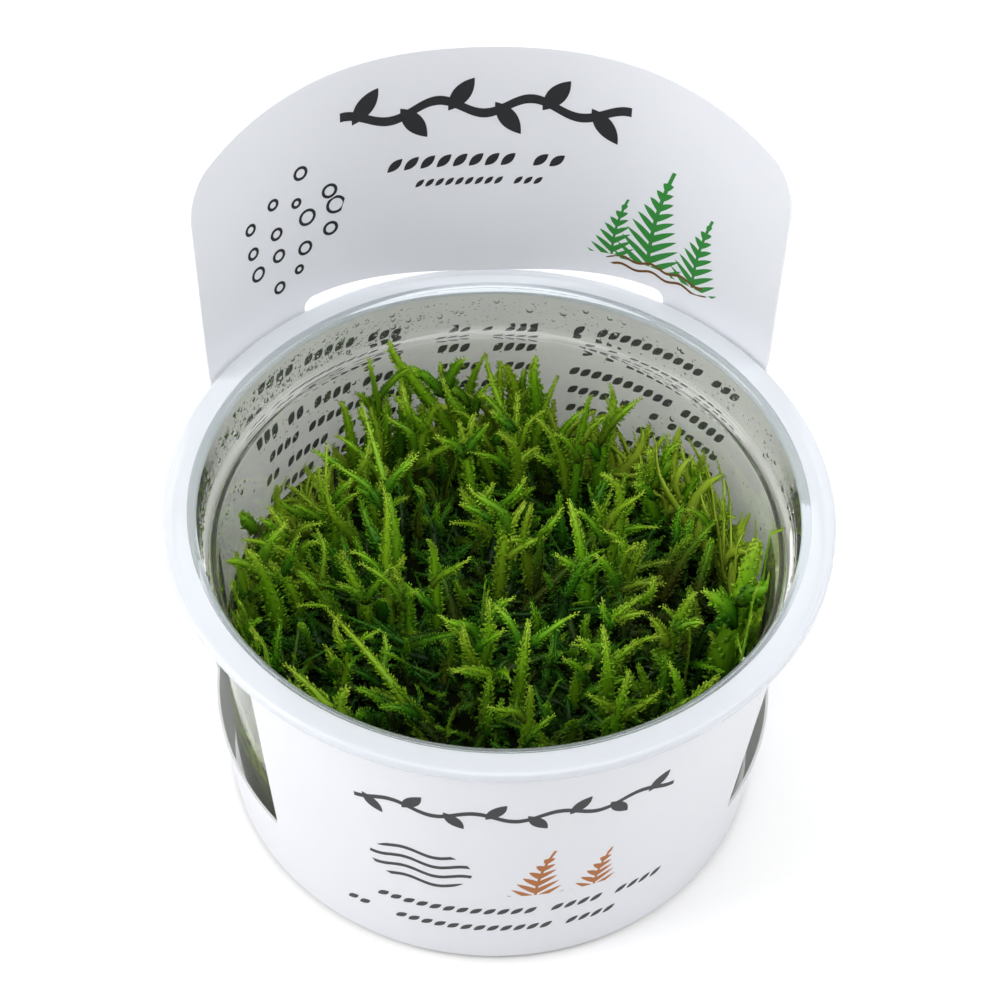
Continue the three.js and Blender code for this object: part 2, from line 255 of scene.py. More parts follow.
tub = piece(
    "tub_moulding", mesh,
    polypropylene("clear_wall", (0.985, 0.99, 0.96, 1), 0.975, 0.01, 0.035),
    polypropylene("milky_flange", (0.83, 0.86, 0.91, 1), 0.40, 0.20, 0.28),
    polypropylene("thick_shoulder", (0.78, 0.84, 0.88, 1), 0.85, 0.04, 0.10),
    polypropylene("wall_wetted_by_the_moss", (0.985, 0.99, 0.96, 1), 0.975, 0.02, 0.05, ior=1.12),
    # The yellow-green tint at the windows is painted light for the moss behind the wall.
    polypropylene("window_wall_with_painted_light", (0.82, 0.87, 0.40, 1), 0.975, 0.01, 0.035, shine=0.03),
)
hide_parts("tub")

# Sleeve
# One sheet of thin white coated card, die-cut and wrapped into a cone round the cup. Its
# front edge tucks under the flange, the flange pokes through a pill-shaped slot at the
# back, and the tall tab stands above that. Two windows are cut in its sides.
CARD = 0.0004
SLEEVE_FOOT = 0.0010
SLEEVE_TOP = 0.0580
FOOT_RADIUS = 0.0427
FLARE = 0.0975
STANDOFF_START = 0.022
STANDOFF = 0.0022
STANDOFF_FADE = 0.36
SLOT_PULL = -0.0006
SLOT_LENGTH = 0.0606
SLOT_BOTTOM = 0.0574
SLOT_TOP = 0.0612
TAB_LEAN = 0.0021
TAB_WIDTH = 0.1048
TAB_HEIGHT = 0.1013
TAB_DROP = 0.0063
TAB_CORNER = 0.0045
TAB_CORNER_SHARE = 0.915
ARCH_REACH = 0.048
ARCH_POWER = 2.8
WINDOW_BOTTOM = 0.017
WINDOW_TOP = 0.0560
WINDOW_FRONT = math.radians(129)
WINDOW_REAR = math.radians(87)
WINDOW_CORNER = 0.0020
WINDOW_HEEL = 0.001
WINDOW_LEAN = 0.0012
SLOT_TURN = SLOT_LENGTH / 2 / FLANGE_RADIUS
TAB_TURN = TAB_WIDTH / 2 / (FLANGE_RADIUS + 0.0008)
EDGE_PITCH = 0.0018
SHEET_PITCH = 0.0019
CLEAR_OF_EDGES = 0.0010
MILLIMETRES = 1000


def ease(value, low, high):
    """A smooth step from 0 at low to 1 at high: 3t^2 - 2t^3."""
    t = np.clip((value - low) / (high - low), 0, 1)
    return t * t * (3 - 2 * t)


def sleeve_radius(turn, z):
    """Inner radius of the wrap at a turn from the back and a height: a plain cone, plus a
    stand-off at both ends of the slot, drawn in at the slot's middle."""
    away = np.abs(turn)
    cone = FOOT_RADIUS + FLARE * (z - SLEEVE_FOOT)
    rise = ease(z, STANDOFF_START, SLEEVE_TOP)
    out_of_slot = ease(away, 0, 0.92 * SLOT_TURN)
    at_strip = out_of_slot * (1 - ease(away, TAB_TURN, TAB_TURN + STANDOFF_FADE))
    middle = SLOT_PULL + TAB_LEAN * ease(z, SLOT_TOP, TAB_HEIGHT - TAB_DROP)
    return cone + rise * (STANDOFF * at_strip + middle * (1 - out_of_slot))


def wrap(turn, z, offset):
    """Wrap the flat sheet: turn and height go to a point at the sleeve's radius. Above the
    rim the turn shrinks as the radius grows, so the tab's sides stay straight."""
    angle = turn * sleeve_radius(turn, SLOT_TOP) / sleeve_radius(turn, np.maximum(z, SLOT_TOP))
    radius = sleeve_radius(turn, z) + offset
    return np.stack([radius * np.sin(angle), radius * np.cos(angle), z + 0 * angle], axis=-1)


def tab_top(reach):
    """Height of the tab's top edge: a flat arch of power 2.8, with round corners."""
    arch = TAB_HEIGHT - TAB_DROP * (reach / ARCH_REACH) ** ARCH_POWER
    past = np.clip(reach - (TAB_WIDTH / 2 - TAB_CORNER), 0, TAB_CORNER)
    return arch - TAB_CORNER + np.sqrt(TAB_CORNER ** 2 - past ** 2)


def arc(across, up, radius, first, last, steps=8):
    """Points on a circle's arc round (across, up), from the first to the last angle."""
    angle = np.radians(np.linspace(first, last, steps))
    return np.stack([across + radius * np.cos(angle), up + radius * np.sin(angle)], axis=-1)


def spread(points):
    """Add evenly spaced points to each side of an outline that is longer than the pitch."""
    ends = np.roll(points, -1, axis=0)
    parts = np.maximum(np.linalg.norm(ends - points, axis=1) // EDGE_PITCH, 1).astype(int)
    side = np.repeat(np.arange(len(points)), parts)
    step = np.arange(len(side)) - np.repeat(np.cumsum(parts) - parts, parts)
    return points[side] + (ends - points)[side] * step[:, None] / parts[side, None]


def window(side):
    """A window's outline in the flat sheet: round top corners, nearly square heels, and a
    front edge that leans forwards."""
    low, high = np.array([WINDOW_REAR, WINDOW_FRONT]) * FLANGE_RADIUS
    heel, turn = WINDOW_HEEL, WINDOW_CORNER
    outline = np.vstack([
        arc(high - heel, WINDOW_BOTTOM + heel, heel, -90, 0),
        arc(high + WINDOW_LEAN - turn, WINDOW_TOP - turn, turn, 0, 90),
        arc(low + turn, WINDOW_TOP - turn, turn, 90, 180),
        arc(low + heel, WINDOW_BOTTOM + heel, heel, 180, 270),
    ])
    return spread(outline if side > 0 else (outline * [-1, 1])[::-1])


def in_outline(points, outline):
    """Even-odd test: count the outline's sides that a level ray from each point crosses."""
    x, y = points.T[:, :, None]
    x0, y0 = outline.T[:, None]
    x1, y1 = np.roll(outline, -1, axis=0).T[:, None]
    crosses = (y0 > y) != (y1 > y)
    level = x0 + (y - y0) * (x1 - x0) / np.where(y1 == y0, 1, y1 - y0)
    return (crosses & (x < level)).sum(axis=1) % 2 == 1


half = math.pi * FLANGE_RADIUS
tab_edge = TAB_TURN * FLANGE_RADIUS
slot_end = SLOT_LENGTH / 2
slot_round = (SLOT_TOP - SLOT_BOTTOM) / 2
slot_level = (SLOT_TOP + SLOT_BOTTOM) / 2
reach = TAB_WIDTH / 2 * np.concatenate([
    np.linspace(1, TAB_CORNER_SHARE, 10)[:-1], np.linspace(TAB_CORNER_SHARE, 0, 26),
])
right_half = np.stack([reach / (TAB_WIDTH / 2) * tab_edge, tab_top(reach)], axis=-1)
right_foot = np.array([
    [half, SLEEVE_FOOT], [half, SLEEVE_TOP], [tab_edge + 0.001, SLEEVE_TOP],
    [tab_edge + 0.0003, SLEEVE_TOP + 0.0003], [tab_edge, SLEEVE_TOP + 0.001],
])
to_left = np.array([-1, 1])
sheet_outline = spread(np.vstack([
    right_foot[:1] * to_left, right_foot, right_half,
    right_half[-2::-1] * to_left, right_foot[:0:-1] * to_left,
]))
slot_outline = spread(np.vstack([
    arc(slot_end - slot_round, slot_level, slot_round, -90, 90, 12),
    arc(-slot_end + slot_round, slot_level, slot_round, 90, 270, 12),
]))
openings = [slot_outline, window(1), window(-1)]

# The sheet is triangulated flat, on its outlines and a grid between them, then wrapped.
outlines = [sheet_outline, *openings]
rims = np.vstack(outlines)
across, up = np.meshgrid(
    np.arange(-half, half, SHEET_PITCH), np.arange(SLEEVE_FOOT, TAB_HEIGHT, SHEET_PITCH))
grid = np.stack([across.ravel(), up.ravel()], axis=-1)
nearest_rim = np.hypot(grid[:, :1] - rims[:, 0], grid[:, 1:] - rims[:, 1]).min(axis=1)
grid = grid[(nearest_rim > CLEAR_OF_EDGES) & in_outline(grid, sheet_outline)]
sizes = np.array([len(o) for o in outlines])
first = np.repeat(np.cumsum(sizes) - sizes, sizes)
number = np.arange(len(rims))
sides = np.stack([number, first + (number - first + 1) % np.repeat(sizes, sizes)], axis=-1)
flat, _, faces, _, _, _ = delaunay_2d_cdt(
    (np.vstack([rims, grid]) * MILLIMETRES).tolist(), sides.tolist(), [], 0, 1e-6)
flat = np.array(flat) / MILLIMETRES
faces = np.array(faces)
middles = flat[faces].mean(axis=1)
kept = in_outline(middles, sheet_outline)
for opening in openings:
    kept &= ~in_outline(middles, opening)
faces = faces[kept]
middles = middles[kept]
a, b, c = flat[faces].transpose(1, 0, 2)
backwards = np.cross(b - a, c - a) < 0
faces[backwards] = faces[backwards][:, ::-1]

# The two ends of the sheet meet at the middle of the front, where their points are welded.
layer = len(flat)
left_end = np.flatnonzero(flat[:, 0] < -half + 1e-6)
right_end = np.flatnonzero(flat[:, 0] > half - 1e-6)
welded = np.arange(layer)
welded[right_end[np.argsort(flat[right_end, 1])]] = left_end[np.argsort(flat[left_end, 1])]
joined = welded[faces]
# An edge is free where no other face runs along it the other way.
edges = np.vstack([joined[:, [0, 1]], joined[:, [1, 2]], joined[:, [2, 0]]])
free = edges[~np.isin(edges @ [layer, 1], edges @ [1, layer])]
turn, height = flat[:, 0] / FLANGE_RADIUS, flat[:, 1]
points = np.vstack([wrap(turn, height, CARD), wrap(turn, height, 0.0)])

# Turn runs clockwise seen from above, so a face that runs anticlockwise in the flat sheet
# faces inwards once it is wrapped, and the outer layer is turned round.
edge_faces = np.stack([free[:, 0], free[:, 1], free[:, 1] + layer, free[:, 0] + layer], axis=-1)
mesh = meshed("sleeve_card", points.tolist(), [
    *joined[:, ::-1].tolist(), *(joined + layer).tolist(), *edge_faces.tolist(),
])

# The print is laid out in millimetres along the card: outside from the middle of the front
# to the right, inside from the middle of the back to the right as seen from the front.
from_seam = np.where(middles[:, :1] > 0, half, -half)[:, None] * [1, 0]
outside_map = (flat[faces][:, ::-1] - from_seam) * [-1, 1]
edge_map = np.full((len(edge_faces) * 4, 2), -1.0)
mesh.uv_layers.new(name="sheet").data.foreach_set("uv", np.vstack([
    outside_map.reshape(-1, 2), flat[faces].reshape(-1, 2), edge_map,
]).ravel() * MILLIMETRES)
mesh.polygons.foreach_set(
    "material_index", np.repeat([0, 1, 2], [len(joined), len(joined), len(edge_faces)]))


def calc(operation, *values):
    """One math node, in the tree that the sockets among its values belong to."""
    tree = next(v for v in values if isinstance(v, bpy.types.NodeSocket)).id_data
    return added(tree, "Math", dict(enumerate(values)), operation=operation).outputs["Value"]


plus = partial(calc, "ADD")
minus = partial(calc, "SUBTRACT")
times = partial(calc, "MULTIPLY")
ratio = partial(calc, "DIVIDE")
power = partial(calc, "POWER")
plain = partial(calc, "ABSOLUTE")
under = partial(calc, "LESS_THAN")


def between(value, low, high):
    """1 where a value lies between two limits."""
    return times(calc("GREATER_THAN", value, low), under(value, high))


def in_oval(x, y, wide, tall):
    """1 inside an ellipse round the origin."""
    return under(plus(power(ratio(x, wide), 2), power(ratio(y, tall), 2)), 1)


def motif(name, draw, *numbers):
    """A node group that takes a place on the card in millimetres, with some numbers of its
    own, and gives the mask that a function draws from them."""
    tree = bpy.data.node_groups.new(name, "ShaderNodeTree")
    tree.interface.new_socket(name="Place", in_out="INPUT", socket_type="NodeSocketVector")
    for number in numbers:
        tree.interface.new_socket(name=number, in_out="INPUT", socket_type="NodeSocketFloat")
    tree.interface.new_socket(name="Mask", in_out="OUTPUT", socket_type="NodeSocketFloat")
    given = tree.nodes.new("NodeGroupInput").outputs
    mask = draw(given["Place"], *(given[number] for number in numbers))
    wired(tree.nodes.new("NodeGroupOutput"), {"Mask": mask})
    return tree


def draw_vine(place, wave, swing, line, leaf):
    """A running vine: a thin sine line, and at every half wave a pointed leaf on a slant,
    where a leaf is the lens |v| < w (1 - (u / l)^2) along its own axis u."""
    x, y, _ = parts(place)
    curve = times(calc("SINE", times(ratio(x, wave), 2 * math.pi)), swing)
    stroke = under(plain(minus(y, curve)), line)
    pitch = times(wave, 0.5)
    cell = calc("ROUND", ratio(x, pitch))
    near = minus(x, times(cell, pitch))
    side = minus(times(calc("FLOORED_MODULO", cell, 2), 2), 1)
    over = minus(times(y, side), times(leaf, 0.62))
    along = plus(times(near, 0.6), times(over, 0.8))
    aside = minus(times(near, 0.8), times(over, 0.6))
    share = power(plain(ratio(along, leaf)), 2)
    lens = times(minus(1, share), times(leaf, 0.42))
    return calc("MAXIMUM", stroke, under(plain(aside), lens))


def draw_sprig(place, tall, wide, pitch):
    """A fern sprig that stands on the origin: a thin bowed stem, and leaflets on lines that
    rise outwards, each as wide as its place between stem and outline allows."""
    x, y, _ = parts(place)
    rise = ratio(y, tall)
    bow = times(power(calc("MAXIMUM", rise, 0), 2), times(wide, 0.5))
    off = plain(minus(x, bow))
    room = times(wide, minus(1, rise))
    stem = under(off, times(wide, 0.05))
    slant = minus(y, times(off, 0.8))
    beat = plain(minus(calc("FRACT", ratio(slant, pitch)), 0.5))
    share = ratio(off, calc("MAXIMUM", room, 0.01))
    leaflet = under(beat, times(minus(1, power(share, 2)), 0.36))
    return times(calc("MAXIMUM", stem, leaflet), between(rise, 0, 1))


def draw_ripple(place, wide, tall, pitch):
    """Ripples inside an ellipse: level sine lines at a steady pitch."""
    x, y, _ = parts(place)
    sway = times(calc("SINE", ratio(x, times(pitch, 0.55))), 0.22)
    drawn = between(calc("FRACT", plus(ratio(y, pitch), sway)), 0.34, 0.66)
    return times(drawn, in_oval(x, y, wide, tall))


def draw_bubble(place, wide, tall, pitch):
    """Rings of many sizes round scattered centres that lie inside an ellipse."""
    cells = added(place.id_data, "TexVoronoi", {
        "Vector": place, "Scale": ratio(1, pitch), "Randomness": 0.55,
    }, voronoi_dimensions="2D").outputs
    chance, _, _ = parts(cells["Color"])
    x, y, _ = parts(cells["Position"])
    size = calc("MULTIPLY_ADD", chance, 0.18, 0.12)
    ring = under(plain(minus(cells["Distance"], size)), 0.055)
    return times(ring, in_oval(x, y, wide, tall))


def draw_leaf_row(place, pitch, row, thick):
    """Rows of tiny slanted leaves, a few of them left out by chance."""
    tree = place.id_data
    x, y, _ = parts(place)
    line = calc("FLOOR", ratio(y, row))
    over = minus(minus(y, times(line, row)), times(row, 0.5))
    cell = calc("FLOOR", ratio(x, pitch))
    near = minus(minus(x, times(cell, pitch)), times(pitch, 0.5))
    along = plus(times(near, 0.75), times(over, 0.66))
    aside = minus(times(over, 0.75), times(near, 0.66))
    share = power(ratio(along, times(pitch, 0.62)), 2)
    blade = under(plain(aside), times(minus(1, share), thick))
    seed = added(tree, "CombineXYZ", {"X": cell, "Y": line}).outputs["Vector"]
    chance = added(tree, "TexWhiteNoise", {"Vector": seed}, noise_dimensions="2D").outputs["Value"]
    return times(blade, calc("GREATER_THAN", chance, 0.16))


def mixed(factor, first, second):
    """A colour mix: first where the factor is 0, second where it is 1."""
    settings = {"Factor": factor, "A": first, "B": second}
    return added(factor.id_data, "Mix", settings, data_type="RGBA").outputs["Result"]


def let_light_through(tree, shader, share, colour):
    """Mix a translucent share of a colour into a surface, and give that share's node."""
    through = added(tree, "BsdfTranslucent", {"Color": colour})
    both = added(tree, "MixShader", {
        "Fac": share, 1: shader.outputs["BSDF"], 2: through.outputs["BSDF"],
    })
    wired(tree.nodes["Material Output"], {"Surface": both.outputs["Shader"]})
    return through


CARD_WHITE = (0.895, 0.905, 0.955, 1)
# Height in millimetres up the card where the inside's painted light below the rim meets the painted
# shade of the tab.
PAINTED_LIGHT_MEETS_SHADE = 59.0


def satin_card(name):
    """White coated card with a soft sheen, thin enough to let some light through."""
    material, tree, card = finish(name, {
        "Base Color": CARD_WHITE, "Roughness": 0.42, "Specular IOR Level": 0.4,
    })
    return material, card, let_light_through(tree, card, 0.32, (0.93, 0.92, 0.88, 1))


def printed(card, layout, painted_light_below=CARD_WHITE, above=CARD_WHITE):
    """Lay inks over a card's white, which may differ below and above the rim, as painted light
    below and painted shade above: layout is a list of (colour, masks), where a mask is
    (group, numbers, centre x, centre y, (left, right, low, high)) in millimetres."""
    material, front, through = card
    tree = material.node_tree
    sheet = added(tree, "UVMap", uv_map="sheet").outputs["UV"]
    x, y, _ = parts(sheet)
    # Painted light below the rim, painted shade above it.
    colour = mixed(calc("GREATER_THAN", y, PAINTED_LIGHT_MEETS_SHADE), painted_light_below, above)
    for ink, masks in layout:
        total = None
        for group, numbers, centre_x, centre_y, (left, right, low, high) in masks:
            place = added(
                tree, "VectorMath", {0: sheet, 1: (centre_x, centre_y, 0)}, operation="SUBTRACT")
            drawn = added(
                tree, "Group", {0: place.outputs["Vector"], **dict(enumerate(numbers, 1))},
                node_tree=group)
            box = times(between(x, left, right), between(y, low, high))
            shown = times(drawn.outputs["Mask"], box)
            total = shown if total is None else calc("MAXIMUM", total, shown)
        colour = mixed(total, colour, ink)
    wired(front, {"Base Color": colour})
    wired(through, {"Color": colour})
    return material


vine = motif("vine_motif", draw_vine, "Wave", "Swing", "Line", "Leaf")
sprig = motif("sprig_motif", draw_sprig, "Tall", "Wide", "Pitch")
ripple = motif("ripple_motif", draw_ripple, "Wide", "Tall", "Pitch")
bubble = motif("bubble_motif", draw_bubble, "Wide", "Tall", "Pitch")
leaf_row = motif("leaf_row_motif", draw_leaf_row, "Pitch", "Row", "Thick")
DARK_INK = (0.025, 0.026, 0.03, 1)
SOFT_INK = (0.03, 0.03, 0.032, 1)
RUST_INK = (0.48, 0.15, 0.015, 1)
GREEN_INK = (0.04, 0.26, 0.05, 1)
BARK_INK = (0.16, 0.07, 0.02, 1)
front_card = printed(satin_card("card_outside"), [
    (DARK_INK, [
        (vine, (12.6, 1.0, 0.55, 2.6), 3.15, 46.0, (-25, 25, 40, 52)),
        (ripple, (8.5, 6.0, 2.9), -15, 28.5, (-26, 0, 22, 36)),
        (leaf_row, (2.3, 3.8, 0.62), 0, 14.6, (-27.6, 27.6, 14.6, 18.4)),
        (leaf_row, (2.3, 3.8, 0.62), 3, 9.0, (-29.2, 21.4, 9.0, 12.8)),
    ]),
    (RUST_INK, [
        (sprig, (13.5, 5.0, 2.3), 4, 21.5, (-2, 12, 21.5, 36)),
        (sprig, (10.5, 4.2, 2.1), 14, 21.5, (8, 21, 21.5, 33)),
    ]),
])
# Inside, the white below the rim is painted light, lighter and warmer than the card, standing in
# for light that comes through the cup's wall; the white of the tab above it is painted shade,
# darker than the card.
inside_card = printed(satin_card("card_inside"), [
    (DARK_INK, [
        (vine, (15.0, 1.3, 0.8, 3.5), 3.75, 91, (-22.7, 22.7, 84, 98)),
        (leaf_row, (2.6, 4.2, 0.7), 0, 79.5, (-15.6, 13.0, 79.5, 83.7)),
        (leaf_row, (1.6, 2.8, 0.4), 0, 76.5, (-11.2, 9.6, 76.5, 79.3)),
        (bubble, (9.5, 10.5, 4.6), -31, 75, (-43, -18, 62, 89)),
    ]),
    (GREEN_INK, [
        (sprig, (19, 6.5, 2.1), 27, 65, (17, 36, 65, 85)),
        (sprig, (14, 5.0, 1.9), 35, 64.5, (28, 44, 64.5, 79)),
        (sprig, (11, 4.2, 1.7), 21, 65.5, (15, 29, 65.5, 77)),
    ]),
    (BARK_INK, [(ripple, (9.0, 1.6, 1.5), 29, 64.5, (19, 39, 62, 66.5))]),
    (SOFT_INK, [
        (leaf_row, (2.0, 3.9, 0.62), 0, 20, (left, right, low, 51.2))
        for left, right, low in ((-46, -14, 27.8), (-8, 10, 35.6), (16, 48, 27.8))
    ]),
], (0.985, 0.985, 0.94, 1), (0.80, 0.81, 0.84, 1))
cut_edge, _, _ = satin_card("card_cut_edge")
sleeve = piece("sleeve_card", mesh, front_card, inside_card, cut_edge)
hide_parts("sleeve")

# Moss
# Living weeping moss packed into the cup: flat feathery shoots with two ranks of tiny
# pointed leaves. They root in a dark cushion, lean on each other and on the wall, and the
# tallest reach just past the ledge.
MOSS_ROOM = 0.0418
WALL_RUN = 0.0005
BAND_ROOM = 0.0022
SOFT_STOP = 0.0006
SOFT_STOP_FADE = 400
ON_THE_FLOOR = 0.0014
SWAY = 0.06
TWIST = 0.45
RIBBON_SHARE = 0.36
RIBBON_RIB = 0.00014
RIBBON_BACK = 0.00010
LEAF_LEAST = 0.00046
LEAF_SHARE = 0.42
LEAF_WAIST = 0.40
LEAF_HALF_WIDTH = 0.25
LEAF_KEEL = 0.10
TO_VIEWER = np.array([-0.06, -0.66, 0.75])
GOLDEN_TURN = 2.399963
GOLDEN_SHARE = 0.618034
BROWN_PATCH = (0.028, 0.003, 0.031)


def unit(vectors):
    """Each vector at length 1."""
    return vectors / np.maximum(np.linalg.norm(vectors, axis=-1, keepdims=True), 1e-9)


def bent(t, root, tip):
    """A shoot's middle at t: the curve (1 - t)^2 root + 2 t (1 - t) control + t^2 tip, whose
    control point lies a quarter of the way across and 0.7 of the way up."""
    control = root + (tip - root) * [0.25, 0.25, 0.7]
    low, high = (1 - t) ** 2 * root[:, None], t ** 2 * tip[:, None]
    return low + 2 * t * (1 - t) * control[:, None] + high


def tube_faces(rings, steps):
    """Triangles between the rings of a tube whose points run ring by ring."""
    ring = np.arange(rings - 1)[:, None] * steps + np.arange(steps)
    after = np.arange(rings - 1)[:, None] * steps + (np.arange(steps) + 1) % steps
    return np.concatenate([
        np.stack([ring, after, after + steps], axis=-1).reshape(-1, 3),
        np.stack([ring, after + steps, ring + steps], axis=-1).reshape(-1, 3),
    ])


def grow(root, tip, width, facing, leaves, tint, seed, young=0.0, vigour_and_painted_light=1.0):
    """Shoots as arrays. A shoot's middle is bent, with a sine sway. It is a thin twisted
    ribbon with a rib, whose half width follows t^0.4 (1 - t)^0.7 with slow waves. Leaves
    stand along both edges and down its face, each a flat pyramid on a kite: base, tip, two
    sides and a rib. Returns points, triangles and a growth value for each point: freshness,
    which the vigour scales and which carries painted shade in the lower beds and painted
    light on the wall; the shoot's tint; and chance, which on the ribbon is painted light
    instead, lighter on its rib and darker on its back."""
    dice = np.random.default_rng(seed)
    shoots = len(root)
    length = np.linalg.norm(tip - root, axis=1)
    sway = dice.normal(size=(shoots, 1, 3)) * length[:, None, None] * SWAY
    phase = dice.uniform(0, 6.28, (shoots, 1, 1))

    def path(t):
        t = t[..., None]
        return bent(t, root, tip) + sway * (np.sin(5 * t + phase) - np.sin(phase)) * t

    twist = dice.normal(0, TWIST, (shoots, 1, 1))

    def axes(t):
        along = unit(path(t + 0.01) - path(t - 0.01))
        level = unit(np.cross(along, facing[:, None]))
        above = np.cross(level, along)
        turn = twist * (t[..., None] - 0.5)
        across = level * np.cos(turn) + above * np.sin(turn)
        return along, across, above * np.cos(turn) - level * np.sin(turn)

    lumps = dice.uniform(9, 16, (shoots, 1))

    def body(t):
        swell = 1 + 0.14 * np.sin(lumps * t + phase[..., 0])
        return 1.1 * np.minimum((t + 0.02) / 0.3, 1) ** 0.4 * (1.02 - t) ** 0.7 * swell

    # The ribbon: rings of four points, two edges, a rib in front and a flatter back.
    rows = 11
    stations = np.broadcast_to(np.linspace(0, 0.99, rows), (shoots, rows))
    along, across, over = axes(stations)
    uneven = dice.uniform(0.82, 1.12, (shoots, rows))
    half = (RIBBON_SHARE * width[:, None] * body(stations) * uneven)[..., None]
    centre = path(stations)
    rib = RIBBON_RIB + 0.14 * half
    ribbon = np.stack([
        centre + half * across, centre + rib * over,
        centre - half * across, centre - RIBBON_BACK * over,
    ], axis=2)
    last = 4 * (rows - 1)
    ends = [[2, 1, 0], [3, 2, 0], [last, last + 1, last + 2], [last, last + 2, last + 3]]
    sides = np.concatenate([tube_faces(rows, 4), ends])
    per = 4 * rows
    ribbon_faces = (np.arange(shoots) * per)[:, None, None] + sides
    # The ribbon's third value is painted light: its rib lighter, its edges between and its back
    # darker.
    ribbon_growth = np.stack([
        vigour_and_painted_light * (young + (1 - young) * np.repeat(stations, 4, axis=1) * 0.92),
        np.repeat(tint[:, None], per, axis=1),
        np.tile([0.55, 0.8, 0.55, 0.2], (shoots, rows)),
    ], axis=-1)

    # The leaves: half of them stand on the edges, the other half on the face.
    each = (shoots, leaves)
    rank = np.arange(leaves)
    t = (rank + 0.3 + dice.uniform(0, 0.5, each)) / leaves * 1.01
    along, across, over = axes(t)
    side = np.where(rank % 2 == 0, 1.0, -1.0)
    on_face = rank % 10 >= 5
    out_by = np.where(on_face, dice.uniform(0.0, 0.75, each), 0.78)
    raised = np.where(on_face, dice.uniform(0.05, 0.4, each), dice.normal(0.04, 0.12, each))
    slant = np.radians(34 + 26 * t + dice.normal(0, 10, each))
    outwards = (side * np.cos(slant))[..., None] * across
    pointing = unit(outwards + np.sin(slant)[..., None] * along + raised[..., None] * over)
    half = RIBBON_SHARE * width[:, None] * body(t)
    long = ((LEAF_LEAST + LEAF_SHARE * half) * dice.uniform(0.7, 1.4, each))[..., None]
    lift = np.where(on_face, (RIBBON_RIB + 0.16 * half) * (1 - out_by), 0.0)[..., None]
    base = path(t) + (side * out_by * half)[..., None] * across + lift * over
    out = unit(over - (over * pointing).sum(-1, keepdims=True) * pointing)
    edge = np.cross(pointing, out)
    middle = base + LEAF_WAIST * long * pointing
    blade = np.stack([
        base, base + long * pointing, middle + LEAF_HALF_WIDTH * long * edge,
        middle - LEAF_HALF_WIDTH * long * edge, middle + LEAF_KEEL * long * out,
    ], axis=2)
    kite = np.array([[0, 4, 2], [2, 4, 1], [1, 4, 3], [3, 4, 0], [0, 2, 3], [1, 3, 2]])
    blade_faces = (shoots * per + np.arange(shoots * leaves) * 5)[:, None, None] + kite
    age = t[..., None] + np.array([-0.10, 0.14, 0, 0, 0.0])
    blade_growth = np.stack([
        vigour_and_painted_light * (young + (1 - young) * np.clip(age, 0, 1)),
        np.broadcast_to(tint[:, None, None], age.shape),
        np.broadcast_to(dice.uniform(0, 1, (shoots, leaves, 1)), age.shape),
    ], axis=-1)
    pairs = (ribbon, blade), (ribbon_faces, blade_faces), (ribbon_growth, blade_growth)
    return [np.concatenate([a.reshape(-1, 3), b.reshape(-1, 3)]) for a, b in pairs]


def pressed(points):
    """Keep points inside the cup: past the wall they are drawn in to it, as leaves pressed
    flat on the plastic are, and they lie no lower than the floor."""
    radius = np.hypot(points[:, 0], points[:, 1])
    room = MOSS_ROOM - WALL_RUN * np.clip(1 - points[:, 2] / LEDGE_LEVEL, 0, 1)
    limit = np.where(points[:, 2] > LEDGE_LEVEL + 0.0005, room + BAND_ROOM, room)
    limit -= SOFT_STOP * np.exp(-np.abs(radius - room) * SOFT_STOP_FADE)
    points[:, :2] *= np.minimum(1, limit / np.maximum(radius, 1e-6))[:, None]
    points[:, 2] = np.maximum(points[:, 2], ON_THE_FLOOR)
    return points


def moss_piece(name, batches, *materials):
    """Join batches of shoots into one mesh with its growth values on the points."""
    shift = np.cumsum([0] + [len(b[0]) for b in batches])
    points = pressed(np.vstack([b[0] for b in batches]))
    faces = np.vstack([b[1] + s for b, s in zip(batches, shift)])
    growth = np.vstack([b[2] for b in batches])
    mesh = bpy.data.meshes.new(name)
    mesh.vertices.add(len(points))
    mesh.vertices.foreach_set("co", points.ravel())
    mesh.loops.add(faces.size)
    mesh.loops.foreach_set("vertex_index", faces.ravel())
    mesh.polygons.add(len(faces))
    mesh.polygons.foreach_set("loop_start", np.arange(0, faces.size, 3))
    mesh.update()
    mesh.validate()
    value = mesh.attributes.new("growth", "FLOAT_COLOR", "POINT")
    value.data.foreach_set("color", np.hstack([growth, np.ones((len(growth), 1))]).ravel())
    for material in materials:
        mesh.materials.append(material)
    made = placed(name, mesh)
    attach(made, "root")
    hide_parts("moss")
    return made


